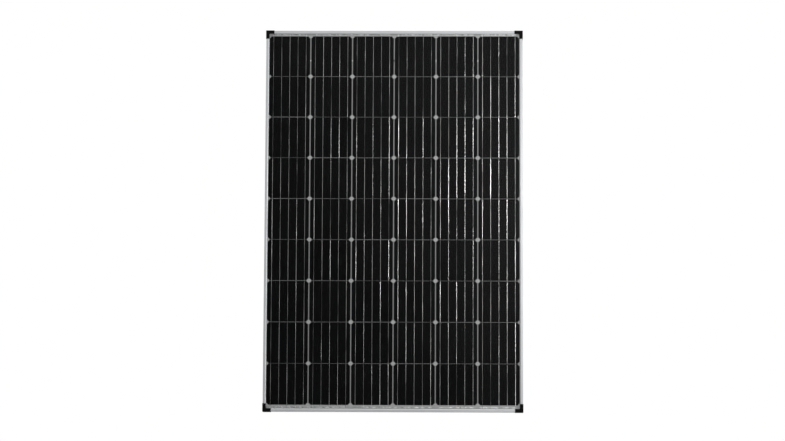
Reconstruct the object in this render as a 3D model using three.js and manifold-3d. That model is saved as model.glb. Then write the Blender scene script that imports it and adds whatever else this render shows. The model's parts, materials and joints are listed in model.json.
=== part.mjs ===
// A framed solar panel standing upright, with its junction box and two output leads.
// Millimetres. X runs across the panel, Z runs up it, and the glass faces -Y.
// The origin is at the bottom centre of the panel's bounding box.
//
// Every piece is drawn about the middle of the frame. Its y is the depth behind the
// front face of the frame, so 0 is the front lip and FRAME_DEPTH is the rear flange.

import * as THREE from "three";
import { mergeVertices } from "three/addons/utils/BufferGeometryUtils.js";
import Module from "manifold-3d";

const wasm = await Module();
wasm.setup();

const QUARTER_TURN = Math.PI / 2;
const MERGE_TOLERANCE = 1e-4;
const OVERSHOOT = 5; // how far a cutting tool runs past the face it opens
const ROUND_SIDES = 12;
const ARC_SIDES = 4; // straight sides in a quarter round

// ---- cell array ----
const COLUMNS = 6;
const ROWS = 9;
const CELL = 156.75;
const CELL_CHAMFER = 8.5;
const COLUMN_GAP = 4.4;
const ROW_GAP = 1.35;
const RIBBONS_PER_CELL = 5;
const RIBBON_WIDTH = 1.1;
const ARRAY_RAISE = 2.5; // the array sits this far above the middle of the frame
const COLUMN_PITCH = CELL + COLUMN_GAP;
const ROW_PITCH = CELL + ROW_GAP;

// ---- frame ----
const FRAME_WIDTH = 988;
const FRAME_HEIGHT = 1468;
const FRAME_DEPTH = 35;
const WALL = 1.4;
const LIP_WIDTH = 11;
const LIP_THICKNESS = 1.6;
const LIP_BEVEL_WIDTH = 2.5;
const LIP_BEVEL_DROP = 0.9;
const SHELF_DEPTH = 8.2;
const SHELF_WIDTH = 13;
const CHAMBER_WIDTH = 8.2;
const CHAMBER_DEPTH = 14.4;
const LONG_FLANGE = 30;
const SHORT_FLANGE = 22;
const MITRE_GAP = 0.1;
const HALF_WIDTH = FRAME_WIDTH / 2;
const HALF_HEIGHT = FRAME_HEIGHT / 2;

// ---- holes in the rails ----
const MOUNT_SLOT = { length: 14, width: 9, inset: 21, stations: [-580, -380, 380, 580] };
const GROUND_HOLE = { radius: 2.1, inset: 15, stations: [-90, 90] };
const DRAIN_SLOT = { length: 10, width: 4, depth: 29.5, stations: [-400, 400] };

// ---- corner keys and guards ----
const KEY_GAP = 0.3;
const KEY_LEG = 42;
const KEY_TIP = 2;
const KEY_TOOTH = { depth: 0.8, length: 3, count: 4, pitch: 6, first: 36 };
const GUARD_WALL = 1;
const GUARD_GAP = 0.2;
const GUARD_PROUD = GUARD_WALL + GUARD_GAP;
const GUARD_LEG = 32;
const GUARD_REACH = 12; // how far the front of the guard covers the lip, from the rail's outer face
const GUARD_FILLET = 3;
const GUARD_CORNER = 2;

// ---- laminate, by depth ----
const LAMINATE_INSET = 3;
const GLASS = { front: 2.2, rear: 5.4, corner: 2 };
const FRONT_ENCAPSULANT = { front: 5.45, rear: 5.9 };
const RIBBON = { front: 5.95, rear: 6.2 };
const WAFER = { front: 6.15, rear: 6.4 };
const BUS = { front: 6.45, rear: 6.7, width: 5 };
const REAR_ENCAPSULANT = { front: 6.75, rear: 7.2 };
const BACKSHEET = { front: 7.25, rear: 7.65 };
const BUS_OVERHANG = 66; // from a string's centre line to the end of its bus ribbon
const BUS_TAIL_THICKNESS = 1; // where it turns to pass through the backsheet
const UPPER_BUS_INSET = 14.5; // from the frame's outer edge to the centre of the bus ribbon
const LOWER_BUS_INSET = 16.8;
const SEALANT = { gap: 0.05, frontReach: 10.4, rearReach: 12.4 };

// ---- junction box ----
const BOX_FROM_TOP = 150;
const BOX_Z = HALF_HEIGHT - BOX_FROM_TOP;
const BOX = { width: 125, height: 105, corner: 8, wall: 2.2, floor: 8.75, inside: 10.75, rim: 26 };
const BOX_FOOT = { margin: 3, rear: 10.75 };
const PAD = { front: 7.7, rear: 8.7, margin: 1 };
const LEAD_SLOT = { z: BOX_Z + 34, halfWidth: 52, halfHeight: 3 };
const WINDOW_HALF_HEIGHT = 5;
const GASKET = { front: 26.05, rear: 27.05, inset: 0.3 };
const LID = { front: 27.1, rear: 29.3, fieldRear: 30.4, fieldMargin: 10, skirtFront: 24, skirtWall: 1.6 };
const LID_SKIRT_GAP = 0.8;
const TONGUE = { x: 25, halfWidth: 8, front: 19, gap: 0.4, wall: 1.6, overlap: 2.5 };
const LATCH_LEDGE = { front: 16.5, rear: 18.6 };
const HINGE = { z: BOX_Z + BOX.height / 2 + 3.6, depth: 26.5, radius: 3, bore: 1.65, pin: 1.5 };
const HINGE_STATION = { x: 36, knuckle: 3.6, lugInner: 4, lugOuter: 9, armDepth: 2.5 };
const PIN_HEAD = { radius: 2.5, thickness: 1, gap: 0.3 };
const TERMINAL = { front: 12.95, rear: 13.95, width: 14, low: BOX_Z - 14, high: BOX_Z + 33 };
const TERMINAL_PITCH = 30;
const TERMINAL_COUNT = 4;
const TERMINAL_TAB = { width: 8, wall: 1, rear: 18 };
const CRADLE = { wall: 1, gap: 0.4, length: 10, rear: 18.6 };
const SUPPORT_RIB = { thickness: 2, rear: 12.9, stations: [BOX_Z - 8, BOX_Z + 27] };
const DIODE = { radius: 3.4, length: 9, pin: 0.6, reach: 11.5, z: BOX_Z + 15, gap: 0.2 };

// ---- glands and leads ----
const LEAD_X = 45;
const LEAD_DEPTH = 17.5;
const CABLE_RADIUS = 3;
const CONDUCTOR_RADIUS = 1.3;
const NECK = { outer: 7, bore: 5, end: BOX_Z - 67 };
const GLAND_NUT = { outer: 9, bore: 7.5, exit: 3.6, top: BOX_Z - 56.2, seat: BOX_Z - 67.4, end: BOX_Z - 71 };
const GLAND_SEAL = { outer: 4.6, bore: 3.35, top: BOX_Z - 56, end: BOX_Z - 66 };
const CONDUCTOR_TOP = BOX_Z - 5;
const INSULATION_TOP = BOX_Z - 28;
const SWING_PIVOT = GLAND_NUT.end - 24;
const BEND_LENGTH = 40;
const LIFT_PIVOT = SWING_PIVOT - BEND_LENGTH;
const BALL_RADIUS = 2.9;
const PIVOT_GAP = 3.4; // the cable above a pivot ends this far before it
const CABLE_LENGTH = 800;
const CABLE_SWAY = 14;
const CABLE_STEPS = 20;
const CABLE_SIDES = 12;
const CABLE_IN_CONNECTOR = 18;

// ---- connectors: depths are counted from the top of the connector nut ----
const CONNECTOR_NUT = { mouth: 6.4, outer: 8, cone: 2.5, length: 20, bore: 7.6, seat: 9, exit: 3.4 };
const CONNECTOR = { thread: 7.1, top: 9.4, shoulder: 20.4, shoulderEnd: 26, collar: 8.6 };
const CONNECTOR_BORE = { radius: 2.6, seatEnd: 20 };
const SOCKET_BARREL = { outer: 7.4, inner: 5.6, end: 50, cavity: 34 };
const PLUG_NOSE = { outer: 5.2, inner: 3.5, end: 48, cavity: 30 };
const PLUG_LATCH = { inner: 6.2, outer: 8.2, halfWidth: 2, start: 24, end: 44 };
const CONTACT = { radius: 2.2, start: 20.4, end: 45, tip: 1.4 };

const MATERIALS = {
  glass: material(0xdfe8ea, 0.04, 0, 0.25),
  encapsulant: material(0xf0f0ea, 0.3, 0, 0.3),
  cell: material(0x101218, 0.25, 0.1),
  bus: material(0xb8bcc0, 0.35, 0.9),
  backsheet: material(0xe6e7e6, 0.6, 0),
  aluminium: material(0xbcbfc2, 0.35, 0.9),
  castKey: material(0x8b8e91, 0.5, 0.8),
  sealant: material(0xdcdcda, 0.7, 0),
  guard: material(0x121213, 0.55, 0),
  housing: material(0x17181a, 0.5, 0),
  rubber: material(0x1c1c1c, 0.85, 0),
  steel: material(0xa9abae, 0.3, 1),
  copper: material(0xc9b79a, 0.35, 1),
  diode: material(0x1b1b1d, 0.35, 0),
  cable: material(0x131313, 0.6, 0),
};

function material(color, roughness, metalness, opacity = 1) {
  const transparent = opacity < 1;
  return new THREE.MeshStandardMaterial({ color, roughness, metalness, opacity, transparent });
}

// ---- solids ----

function solidOf(geometry) {
  geometry.deleteAttribute("normal");
  geometry.deleteAttribute("uv");
  const merged = mergeVertices(geometry, MERGE_TOLERANCE);
  const vertProperties = merged.attributes.position.array;
  const triVerts = new Uint32Array(merged.index.array);
  return new wasm.Manifold(new wasm.Mesh({ numProp: 3, vertProperties, triVerts }));
}

function geometryOf(solid) {
  const { vertProperties, triVerts } = solid.getMesh();
  const geometry = new THREE.BufferGeometry();
  geometry.setAttribute("position", new THREE.BufferAttribute(vertProperties, 3));
  geometry.setIndex(new THREE.BufferAttribute(triVerts, 1));
  const faceted = geometry.toNonIndexed();
  faceted.computeVertexNormals();
  return faceted;
}

function piece(name, solid, look) {
  const mesh = new THREE.Mesh(geometryOf(solid), look);
  mesh.name = name;
  return mesh;
}

function joined(solids) {
  return solids.reduce((whole, next) => whole.add(next));
}

// A box from its low and high limits along each axis.
function box([x0, x1], [y0, y1], [z0, z1]) {
  const geometry = new THREE.BoxGeometry(x1 - x0, y1 - y0, z1 - z0);
  geometry.translate((x0 + x1) / 2, (y0 + y1) / 2, (z0 + z1) / 2);
  return solidOf(geometry);
}

// An outline drawn in x and z, made solid between two depths and moved to (x, z).
function slab(shape, front, rear, x = 0, z = 0) {
  const geometry = new THREE.ExtrudeGeometry(shape, { depth: rear - front, bevelEnabled: false });
  geometry.rotateX(QUARTER_TURN);
  geometry.translate(x, rear, z);
  return solidOf(geometry);
}

function upright(radius, x, depth, z0, z1, sides = ROUND_SIDES) {
  const geometry = new THREE.CylinderGeometry(radius, radius, z1 - z0, sides);
  geometry.rotateX(QUARTER_TURN);
  geometry.translate(x, depth, (z0 + z1) / 2);
  return solidOf(geometry);
}

function crossways(radius, [x0, x1], depth, z) {
  const geometry = new THREE.CylinderGeometry(radius, radius, x1 - x0, ROUND_SIDES);
  geometry.rotateZ(QUARTER_TURN);
  geometry.translate((x0 + x1) / 2, depth, z);
  return solidOf(geometry);
}

// A turned piece hanging down the z axis. Each profile point is [radius, distance below the top].
function hangingLathe(profile, x, top, sides = ROUND_SIDES) {
  const points = profile.map(([radius, below]) => new THREE.Vector2(radius, -below));
  const geometry = new THREE.LatheGeometry(points.reverse(), sides);
  geometry.rotateX(QUARTER_TURN);
  geometry.translate(x, LEAD_DEPTH, top);
  return solidOf(geometry);
}

function closedRing(profile) {
  return [...profile, profile[0]];
}

// ---- outlines ----

function outline(points) {
  return new THREE.Shape(points.map(([x, y]) => new THREE.Vector2(x, y)));
}

function roundedRectangle(width, height, corner) {
  const x = width / 2;
  const y = height / 2;
  const shape = new THREE.Shape();
  shape.moveTo(corner - x, -y);
  shape.lineTo(x - corner, -y);
  shape.absarc(x - corner, corner - y, corner, -QUARTER_TURN, 0);
  shape.absarc(x - corner, y - corner, corner, 0, QUARTER_TURN);
  shape.absarc(corner - x, y - corner, corner, QUARTER_TURN, 2 * QUARTER_TURN);
  shape.absarc(corner - x, corner - y, corner, 2 * QUARTER_TURN, 3 * QUARTER_TURN);
  return coarse(shape, ARC_SIDES);
}

// A slot with round ends, its length along the shape's y axis.
function obround(length, width) {
  const radius = width / 2;
  const straight = length / 2 - radius;
  const shape = new THREE.Shape();
  shape.absarc(0, straight, radius, 0, 2 * QUARTER_TURN);
  shape.absarc(0, -straight, radius, 2 * QUARTER_TURN, 4 * QUARTER_TURN);
  return coarse(shape, 2 * ARC_SIDES);
}

function disc(radius) {
  const shape = new THREE.Shape();
  shape.absarc(0, 0, radius, 0, 4 * QUARTER_TURN);
  return coarse(shape, 4 * ARC_SIDES);
}

// The same outline with each of its arcs as that many straight sides.
function coarse(shape, sides) {
  const points = shape.getPoints(sides / 2); // getPoints doubles its count on an arc
  const first = points[0];
  const kept = points.filter((point, i) => i === 0 || point.distanceTo(points[i - 1]) > MERGE_TOLERANCE);
  if (kept[kept.length - 1].distanceTo(first) < MERGE_TOLERANCE) kept.pop();
  return new THREE.Shape(kept);
}

// ---- frame ----

// The rail's cross-section: x runs inwards from the outer face and y runs rearwards.
function railSection(flange) {
  const chamberInner = WALL + CHAMBER_WIDTH;
  const chamberFront = SHELF_DEPTH + WALL;
  const chamberRear = chamberFront + CHAMBER_DEPTH;
  const section = outline([
    [0, 0],
    [LIP_WIDTH - LIP_BEVEL_WIDTH, 0],
    [LIP_WIDTH, LIP_BEVEL_DROP],
    [LIP_WIDTH, LIP_THICKNESS],
    [WALL, LIP_THICKNESS],
    [WALL, SHELF_DEPTH],
    [SHELF_WIDTH, SHELF_DEPTH],
    [SHELF_WIDTH, chamberFront],
    [chamberInner + WALL, chamberFront],
    [chamberInner + WALL, chamberRear + WALL],
    [WALL, chamberRear + WALL],
    [WALL, FRAME_DEPTH - WALL],
    [flange, FRAME_DEPTH - WALL],
    [flange, FRAME_DEPTH],
    [0, FRAME_DEPTH],
  ]);
  section.holes.push(
    outline([
      [WALL, chamberFront],
      [chamberInner, chamberFront],
      [chamberInner, chamberRear],
      [WALL, chamberRear],
    ]),
  );
  return section;
}

// A rail on the -X side, running along Z, with both ends cut to 45 degrees.
function railSolid(length, halfSpan, flange) {
  const geometry = new THREE.ExtrudeGeometry(railSection(flange), { depth: length, bevelEnabled: false });
  const position = geometry.attributes.position;
  for (let i = 0; i < position.count; i += 1) {
    const mitre = position.getX(i) + MITRE_GAP;
    const farEnd = position.getZ(i) > length / 2;
    position.setZ(i, farEnd ? length - mitre : mitre);
  }
  geometry.translate(-halfSpan, 0, -length / 2);
  return solidOf(geometry);
}

function longRail() {
  const rear = [FRAME_DEPTH - OVERSHOOT, FRAME_DEPTH + OVERSHOOT];
  let rail = railSolid(FRAME_HEIGHT, HALF_WIDTH, LONG_FLANGE);
  for (const z of MOUNT_SLOT.stations) {
    const slot = obround(MOUNT_SLOT.length, MOUNT_SLOT.width);
    rail = rail.subtract(slab(slot, ...rear, MOUNT_SLOT.inset - HALF_WIDTH, z));
  }
  for (const z of GROUND_HOLE.stations) {
    rail = rail.subtract(slab(disc(GROUND_HOLE.radius), ...rear, GROUND_HOLE.inset - HALF_WIDTH, z));
  }
  return rail;
}

function shortRail() {
  let rail = railSolid(FRAME_WIDTH, HALF_HEIGHT, SHORT_FLANGE);
  const reach = 2 * OVERSHOOT;
  for (const z of DRAIN_SLOT.stations) {
    const slot = obround(DRAIN_SLOT.length, DRAIN_SLOT.width);
    const geometry = new THREE.ExtrudeGeometry(slot, { depth: reach, bevelEnabled: false });
    geometry.rotateZ(QUARTER_TURN);
    geometry.rotateY(QUARTER_TURN);
    geometry.translate(-HALF_HEIGHT - OVERSHOOT, DRAIN_SLOT.depth, z);
    rail = rail.subtract(solidOf(geometry));
  }
  return rail;
}

function frameRails() {
  const rails = [
    ["frame_rail_left", longRail(), 0],
    ["frame_rail_top", shortRail(), QUARTER_TURN],
    ["frame_rail_right", longRail(), 2 * QUARTER_TURN],
    ["frame_rail_bottom", shortRail(), -QUARTER_TURN],
  ];
  return rails.map(([name, solid, turn]) => {
    const rail = piece(name, solid, MATERIALS.aluminium);
    rail.rotation.y = turn;
    return rail;
  });
}

// One leg's toothed inner edge, from the tip towards the corner, as [distance along, distance across].
function keyTeeth(inner) {
  const points = [];
  for (let i = 0; i < KEY_TOOTH.count; i += 1) {
    const along = KEY_TOOTH.first - i * KEY_TOOTH.pitch;
    points.push([along, inner]);
    points.push([along, inner - KEY_TOOTH.depth]);
    points.push([along - KEY_TOOTH.length, inner]);
  }
  return points;
}

// The L-shaped key that joins two rails inside their chambers, drawn from the frame's outer corner.
function cornerKey() {
  const outer = WALL + KEY_GAP;
  const inner = WALL + CHAMBER_WIDTH - KEY_GAP;
  const legEdge = [
    [KEY_LEG - KEY_TIP, outer],
    [KEY_LEG, outer + KEY_TIP],
    [KEY_LEG, inner - KEY_TIP],
    [KEY_LEG - KEY_TIP, inner],
    ...keyTeeth(inner),
  ];
  const otherLeg = legEdge.map(([along, across]) => [across, along]).reverse();
  const shape = outline([[outer, outer], ...legEdge, [inner, inner], ...otherLeg]);
  const front = SHELF_DEPTH + WALL + KEY_GAP;
  const rear = SHELF_DEPTH + WALL + CHAMBER_DEPTH - KEY_GAP;
  return slab(shape, front, rear);
}

// The guard covers the lip and both outer faces at a corner, and ends level with the rear flange.
function cornerGuard() {
  const low = -GUARD_PROUD;
  const high = GUARD_LEG - GUARD_PROUD;
  const outside = new THREE.Shape();
  outside.moveTo(low + GUARD_CORNER, low);
  outside.lineTo(high, low);
  outside.lineTo(high, high);
  outside.lineTo(low, high);
  outside.lineTo(low, low + GUARD_CORNER);
  outside.absarc(low + GUARD_CORNER, low + GUARD_CORNER, GUARD_CORNER, -2 * QUARTER_TURN, -QUARTER_TURN);
  const centre = GUARD_REACH + GUARD_FILLET;
  const far = high + OVERSHOOT;
  const opening = new THREE.Shape();
  opening.moveTo(far, GUARD_REACH);
  opening.lineTo(far, far);
  opening.lineTo(GUARD_REACH, far);
  opening.lineTo(GUARD_REACH, centre);
  opening.absarc(centre, centre, GUARD_FILLET, -2 * QUARTER_TURN, -QUARTER_TURN);
  const inside = [-GUARD_GAP, far];
  return slab(coarse(outside, ARC_SIDES), -GUARD_PROUD, FRAME_DEPTH)
    .subtract(box(inside, [-GUARD_GAP, FRAME_DEPTH + OVERSHOOT], inside))
    .subtract(slab(coarse(opening, ARC_SIDES), -GUARD_PROUD - OVERSHOOT, OVERSHOOT));
}

function corners() {
  const places = [
    ["bottom_left", -HALF_WIDTH, -HALF_HEIGHT, 0],
    ["top_left", -HALF_WIDTH, HALF_HEIGHT, QUARTER_TURN],
    ["top_right", HALF_WIDTH, HALF_HEIGHT, 2 * QUARTER_TURN],
    ["bottom_right", HALF_WIDTH, -HALF_HEIGHT, -QUARTER_TURN],
  ];
  return places.map(([name, x, z, turn]) => {
    const corner = new THREE.Group();
    corner.position.set(x, 0, z);
    corner.rotation.y = turn;
    corner.add(piece(`corner_key_${name}`, cornerKey(), MATERIALS.castKey));
    corner.add(piece(`corner_guard_${name}`, cornerGuard(), MATERIALS.guard));
    return corner;
  });
}

// ---- laminate ----

function sheet(inset, front, rear) {
  const x = HALF_WIDTH - inset;
  const z = HALF_HEIGHT - inset;
  return box([-x, x], [front, rear], [-z, z]);
}

function glassSheet() {
  const width = FRAME_WIDTH - 2 * LAMINATE_INSET;
  const height = FRAME_HEIGHT - 2 * LAMINATE_INSET;
  return slab(roundedRectangle(width, height, GLASS.corner), GLASS.front, GLASS.rear);
}

function leadSlotTool() {
  const { z, halfWidth, halfHeight } = LEAD_SLOT;
  return box([-halfWidth, halfWidth], [0, FRAME_DEPTH], [z - halfHeight, z + halfHeight]);
}

function slottedSheet({ front, rear }) {
  return sheet(LAMINATE_INSET, front, rear).subtract(leadSlotTool());
}

// The seal lines the rail's groove all the way round the laminate, on both its faces and its edge.
function frameSealant() {
  const { gap, frontReach, rearReach } = SEALANT;
  const body = sheet(WALL + gap, LIP_THICKNESS + gap, SHELF_DEPTH - gap);
  const laminateRoom = sheet(LAMINATE_INSET - gap, GLASS.front - gap, BACKSHEET.rear + gap);
  const frontOpening = sheet(frontReach, -OVERSHOOT, SHELF_DEPTH / 2);
  const rearOpening = sheet(rearReach, SHELF_DEPTH / 2, FRAME_DEPTH);
  return body.subtract(laminateRoom).subtract(frontOpening).subtract(rearOpening);
}

function columnX(column) {
  return (column - (COLUMNS - 1) / 2) * COLUMN_PITCH;
}

function rowZ(row) {
  return (row - (ROWS - 1) / 2) * ROW_PITCH + ARRAY_RAISE;
}

const UPPER_BUS_Z = HALF_HEIGHT - UPPER_BUS_INSET;
const LOWER_BUS_Z = LOWER_BUS_INSET - HALF_HEIGHT;

function waferShape() {
  const half = CELL / 2;
  const cut = half - CELL_CHAMFER;
  return outline([
    [cut, -half],
    [half, -cut],
    [half, cut],
    [cut, half],
    [-cut, half],
    [-half, cut],
    [-half, -cut],
    [-cut, -half],
  ]);
}

// Nine wafers joined by five tabbing ribbons that reach the bus ribbons at both ends.
function cellString(column) {
  const x = columnX(column);
  const parts = [];
  for (let row = 0; row < ROWS; row += 1) {
    parts.push(slab(waferShape(), WAFER.front, WAFER.rear, x, rowZ(row)));
  }
  const ribbonPitch = CELL / RIBBONS_PER_CELL;
  const z = [LOWER_BUS_Z - BUS.width / 2, UPPER_BUS_Z + BUS.width / 2];
  for (let i = 0; i < RIBBONS_PER_CELL; i += 1) {
    const ribbonX = x + (i - (RIBBONS_PER_CELL - 1) / 2) * ribbonPitch;
    const across = [ribbonX - RIBBON_WIDTH / 2, ribbonX + RIBBON_WIDTH / 2];
    parts.push(box(across, [RIBBON.front, RIBBON.rear], z));
  }
  return joined(parts);
}

function flatRibbon([x0, x1], [z0, z1]) {
  return box([x0, x1], [BUS.front, BUS.rear], [z0, z1]);
}

// One strip across the given strings, at the height of the upper or lower bus.
function busStrip(firstColumn, lastColumn, z) {
  const x = [columnX(firstColumn) - BUS_OVERHANG, columnX(lastColumn) + BUS_OVERHANG];
  return flatRibbon(x, [z - BUS.width / 2, z + BUS.width / 2]);
}

function terminalX(index) {
  return (index - (TERMINAL_COUNT - 1) / 2) * TERMINAL_PITCH;
}

// An upper bus ribbon: its strip, a leg down behind the cells, and a tail through the backsheet.
function upperBus(index, firstColumn, lastColumn) {
  const half = BUS.width / 2;
  const tailX = terminalX(index);
  const tail = BUS_TAIL_THICKNESS / 2;
  const side = Math.sign(tailX);
  const stripEnd = side < 0 ? columnX(lastColumn) + BUS_OVERHANG : columnX(firstColumn) - BUS_OVERHANG;
  const reachesTail = Math.abs(stripEnd) <= Math.abs(tailX);
  const legX = reachesTail ? tailX : stripEnd + side * half;
  const parts = [
    busStrip(firstColumn, lastColumn, UPPER_BUS_Z),
    flatRibbon([legX - half, legX + half], [LEAD_SLOT.z - half, UPPER_BUS_Z + half]),
    box([tailX - half, tailX + half], [BUS.front, TERMINAL.rear], [LEAD_SLOT.z - tail, LEAD_SLOT.z + tail]),
  ];
  if (!reachesTail) {
    const run = [Math.min(legX, tailX) - half, Math.max(legX, tailX) + half];
    parts.push(flatRibbon(run, [LEAD_SLOT.z - half, LEAD_SLOT.z + half]));
  }
  return joined(parts);
}

function laminate() {
  const group = new THREE.Group();
  group.add(piece("front_glass", glassSheet(), MATERIALS.glass));
  const front = sheet(LAMINATE_INSET, FRONT_ENCAPSULANT.front, FRONT_ENCAPSULANT.rear);
  group.add(piece("front_encapsulant", front, MATERIALS.encapsulant));
  group.add(piece("rear_encapsulant", slottedSheet(REAR_ENCAPSULANT), MATERIALS.encapsulant));
  group.add(piece("backsheet", slottedSheet(BACKSHEET), MATERIALS.backsheet));
  group.add(piece("frame_sealant", frameSealant(), MATERIALS.sealant));
  for (let column = 0; column < COLUMNS; column += 1) {
    group.add(piece(`cell_string_${column + 1}`, cellString(column), MATERIALS.cell));
  }
  const upperSpans = [[0, 0], [1, 2], [3, 4], [5, 5]];
  upperSpans.forEach(([first, last], i) => {
    group.add(piece(`upper_bus_ribbon_${i + 1}`, upperBus(i, first, last), MATERIALS.bus));
  });
  for (let pair = 0; pair < COLUMNS / 2; pair += 1) {
    const strip = busStrip(2 * pair, 2 * pair + 1, LOWER_BUS_Z);
    group.add(piece(`lower_bus_ribbon_${pair + 1}`, strip, MATERIALS.bus));
  }
  return group;
}

// ---- junction box ----

function boxOutline(grow) {
  return roundedRectangle(BOX.width + 2 * grow, BOX.height + 2 * grow, BOX.corner + grow);
}

function windowTool() {
  const z = LEAD_SLOT.z;
  const height = [z - WINDOW_HALF_HEIGHT, z + WINDOW_HALF_HEIGHT];
  return box([-LEAD_SLOT.halfWidth, LEAD_SLOT.halfWidth], [0, BOX.inside + 1], height);
}

function adhesivePad() {
  const shape = boxOutline(BOX_FOOT.margin - PAD.margin);
  return slab(shape, PAD.front, PAD.rear, 0, BOX_Z).subtract(windowTool());
}

// Two lugs at each hinge station, either side of the lid's knuckle.
function hingeLugs() {
  const wall = BOX_Z + BOX.height / 2 - BOX.wall / 2;
  const lugs = [];
  for (const side of [-1, 1]) {
    for (const end of [-1, 1]) {
      const limits = [end * HINGE_STATION.lugInner, end * HINGE_STATION.lugOuter];
      const x = limits.map((limit) => side * HINGE_STATION.x + limit).sort((a, b) => a - b);
      lugs.push(box(x, [BOX.rim - HINGE_STATION.armDepth, BOX.rim], [wall, HINGE.z]));
      lugs.push(crossways(HINGE.radius, x, HINGE.depth, HINGE.z));
    }
  }
  return lugs;
}

function hingeBore() {
  const reach = HINGE_STATION.x + HINGE_STATION.lugOuter + OVERSHOOT;
  return crossways(HINGE.bore, [-reach, reach], HINGE.depth, HINGE.z);
}

function boxBase() {
  const wall = BOX_Z - BOX.height / 2;
  const parts = [
    slab(boxOutline(0), BOX.floor, BOX.rim, 0, BOX_Z),
    slab(boxOutline(BOX_FOOT.margin), BOX.floor, BOX_FOOT.rear, 0, BOX_Z),
  ];
  for (const side of [-1, 1]) {
    parts.push(upright(NECK.outer, side * LEAD_X, LEAD_DEPTH, NECK.end, wall + BOX.wall / 2));
    const x = [side * TONGUE.x - TONGUE.halfWidth, side * TONGUE.x + TONGUE.halfWidth];
    const ledge = [wall - TONGUE.gap - TONGUE.wall, wall + BOX.wall / 2];
    parts.push(box(x, [LATCH_LEDGE.front, LATCH_LEDGE.rear], ledge));
  }
  let base = joined(parts).subtract(slab(boxOutline(-BOX.wall), BOX.inside, BOX.rim + OVERSHOOT, 0, BOX_Z));
  const ribX = BOX.width / 2 - BOX.wall / 2;
  for (const z of SUPPORT_RIB.stations) {
    const rib = [z - SUPPORT_RIB.thickness / 2, z + SUPPORT_RIB.thickness / 2];
    base = base.add(box([-ribX, ribX], [BOX.inside - BOX.wall / 2, SUPPORT_RIB.rear], rib));
  }
  for (const side of [-1, 1]) {
    const bore = upright(NECK.bore, side * LEAD_X, LEAD_DEPTH, NECK.end - OVERSHOOT, wall + OVERSHOOT);
    base = base.subtract(bore);
  }
  return base.subtract(windowTool()).add(joined(hingeLugs())).subtract(hingeBore());
}

function lidGasket() {
  const ring = slab(boxOutline(-GASKET.inset), GASKET.front, GASKET.rear, 0, BOX_Z);
  const opening = boxOutline(GASKET.inset - BOX.wall);
  return ring.subtract(slab(opening, 0, FRAME_DEPTH, 0, BOX_Z));
}

function boxLid() {
  const wall = BOX_Z - BOX.height / 2;
  const parts = [
    slab(boxOutline(0), LID.front, LID.rear, 0, BOX_Z),
    slab(boxOutline(-LID.fieldMargin / 2), LID.front, LID.fieldRear, 0, BOX_Z),
  ];
  const skirtOuter = boxOutline(-BOX.wall - LID_SKIRT_GAP);
  const skirtInner = boxOutline(-BOX.wall - LID_SKIRT_GAP - LID.skirtWall);
  const skirt = slab(skirtOuter, LID.skirtFront, LID.rear, 0, BOX_Z);
  parts.push(skirt.subtract(slab(skirtInner, 0, LID.front, 0, BOX_Z)));
  for (const side of [-1, 1]) {
    const x = [side * TONGUE.x - TONGUE.halfWidth, side * TONGUE.x + TONGUE.halfWidth];
    const outer = wall - TONGUE.gap - TONGUE.wall;
    parts.push(box(x, [TONGUE.front, LID.rear], [outer, wall - TONGUE.gap]));
    parts.push(box(x, [LID.front, LID.rear], [outer, wall + TONGUE.overlap]));
    const middle = side * HINGE_STATION.x;
    const knuckle = [middle - HINGE_STATION.knuckle, middle + HINGE_STATION.knuckle];
    const edge = BOX_Z + BOX.height / 2 - TONGUE.overlap;
    parts.push(box(knuckle, [LID.front, LID.rear], [edge, HINGE.z]));
    parts.push(crossways(HINGE.radius, knuckle, HINGE.depth, HINGE.z));
  }
  return joined(parts).subtract(hingeBore());
}

function hingePin() {
  const reach = HINGE_STATION.x + HINGE_STATION.lugOuter + PIN_HEAD.gap;
  const parts = [crossways(HINGE.pin, [-reach, reach], HINGE.depth, HINGE.z)];
  for (const side of [-1, 1]) {
    const x = [side * reach, side * (reach + PIN_HEAD.thickness)].sort((a, b) => a - b);
    parts.push(crossways(PIN_HEAD.radius, x, HINGE.depth, HINGE.z));
  }
  return joined(parts);
}

// A strip with an upright solder tab. The two outer terminals also cradle a cable's conductor.
function terminal(index) {
  const x = terminalX(index);
  const half = TERMINAL.width / 2;
  const tab = TERMINAL_TAB.width / 2;
  const tabHeight = [TERMINAL.high - TERMINAL_TAB.wall, TERMINAL.high];
  const parts = [
    box([x - half, x + half], [TERMINAL.front, TERMINAL.rear], [TERMINAL.low, TERMINAL.high]),
    box([x - tab, x + tab], [TERMINAL.front, TERMINAL_TAB.rear], tabHeight),
  ];
  const isOuter = index === 0 || index === TERMINAL_COUNT - 1;
  if (isOuter) {
    const inner = CONDUCTOR_RADIUS + CRADLE.gap;
    const z = [TERMINAL.low, TERMINAL.low + CRADLE.length];
    parts.push(box([x - inner - CRADLE.wall, x - inner], [TERMINAL.front, CRADLE.rear], z));
    parts.push(box([x + inner, x + inner + CRADLE.wall], [TERMINAL.front, CRADLE.rear], z));
  }
  return joined(parts);
}

function bypassDiode(index) {
  const x = (terminalX(index) + terminalX(index + 1)) / 2;
  const depth = TERMINAL.rear + DIODE.gap + DIODE.pin;
  return joined([
    crossways(DIODE.radius, [x - DIODE.length / 2, x + DIODE.length / 2], depth, DIODE.z),
    crossways(DIODE.pin, [x - DIODE.reach, x + DIODE.reach], depth, DIODE.z),
  ]);
}

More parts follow.
